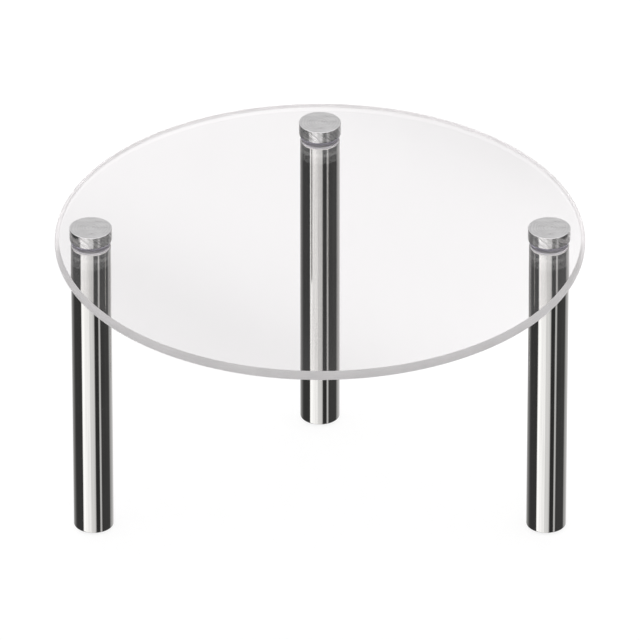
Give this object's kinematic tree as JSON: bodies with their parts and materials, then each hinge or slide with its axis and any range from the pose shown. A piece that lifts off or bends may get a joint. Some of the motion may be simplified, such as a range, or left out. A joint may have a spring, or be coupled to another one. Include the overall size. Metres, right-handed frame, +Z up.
{
  "type": "cake stand",
  "caption": "Round clear plate held above the table on polished tube pillars, each clamped by a flat screw cap with a threaded stud.",
  "frame": {"origin": "on the table, under the centre of the round plate", "axes": "+Z up; -Y to the front, between the two side pillars; +Y to the back pillar; +X to the right-hand pillar"},
  "size_m": [0.25, 0.25, 0.1647],
  "materials": {
    "clear_plate": "clear acrylic sheet with a rounded satin edge",
    "clear_plastic": "clear soft plastic washers and sleeves, slightly blue",
    "polished_steel": "mirror-polished stainless tube",
    "cap_steel": "fine satin top face, polished side",
    "stud_steel": "rolled thread, plain steel",
    "insert_steel": "turned steel",
    "plug_plastic": "black moulded plug",
    "pad_rubber": "translucent soft pad"
  },
  "bodies": {
    "stand": {"plate": "clear_plate", "hole_sleeve_left": "clear_plastic", "hole_sleeve_back": "clear_plastic", "hole_sleeve_right": "clear_plastic", "seat_washer_left": "clear_plastic", "seat_washer_back": "clear_plastic", "seat_washer_right": "clear_plastic", "pillar_left": "polished_steel", "pillar_back": "polished_steel", "pillar_right": "polished_steel", "thread_insert_left": "insert_steel", "thread_insert_back": "insert_steel", "thread_insert_right": "insert_steel", "base_plug_left": "plug_plastic", "base_plug_back": "plug_plastic", "base_plug_right": "plug_plastic", "foot_pad_left": "pad_rubber", "foot_pad_back": "pad_rubber", "foot_pad_right": "pad_rubber"},
    "lifting_washer_left": {"cap_washer_left": "clear_plastic"},
    "screw_left": {"cap_left": "cap_steel", "stud_left": "stud_steel"},
    "lifting_washer_back": {"cap_washer_back": "clear_plastic"},
    "screw_back": {"cap_back": "cap_steel", "stud_back": "stud_steel"},
    "lifting_washer_right": {"cap_washer_right": "clear_plastic"},
    "screw_right": {"cap_right": "cap_steel", "stud_right": "stud_steel"}
  },
  "joints": [
    {"name": "cap_lift_left", "type": "slide", "parent": "stand", "child": "lifting_washer_left", "axis": [0, 0, 1], "range_m": [0, 0.01]},
    {"name": "cap_turn_left", "type": "hinge", "parent": "lifting_washer_left", "child": "screw_left", "pos_m": [-0.1079, -0.00471, 0.153], "axis": [0, 0, 1], "range_deg": [0, 2880]},
    {"name": "cap_lift_back", "type": "slide", "parent": "stand", "child": "lifting_washer_back", "axis": [0, 0, 1], "range_m": [0, 0.01]},
    {"name": "cap_turn_back", "type": "hinge", "parent": "lifting_washer_back", "child": "screw_back", "pos_m": [0, 0.094, 0.153], "axis": [0, 0, 1], "range_deg": [0, 2880]},
    {"name": "cap_lift_right", "type": "slide", "parent": "stand", "child": "lifting_washer_right", "axis": [0, 0, 1], "range_m": [0, 0.01]},
    {"name": "cap_turn_right", "type": "hinge", "parent": "lifting_washer_right", "child": "screw_right", "pos_m": [0.1079, -0.00471, 0.153], "axis": [0, 0, 1], "range_deg": [0, 2880]}
  ],
  "couplings": [
    {"joint": "cap_lift_left", "follows": "cap_turn_left", "m_per_rad": 0.00019894},
    {"joint": "cap_lift_back", "follows": "cap_turn_back", "m_per_rad": 0.00019894},
    {"joint": "cap_lift_right", "follows": "cap_turn_right", "m_per_rad": 0.00019894}
  ]
}
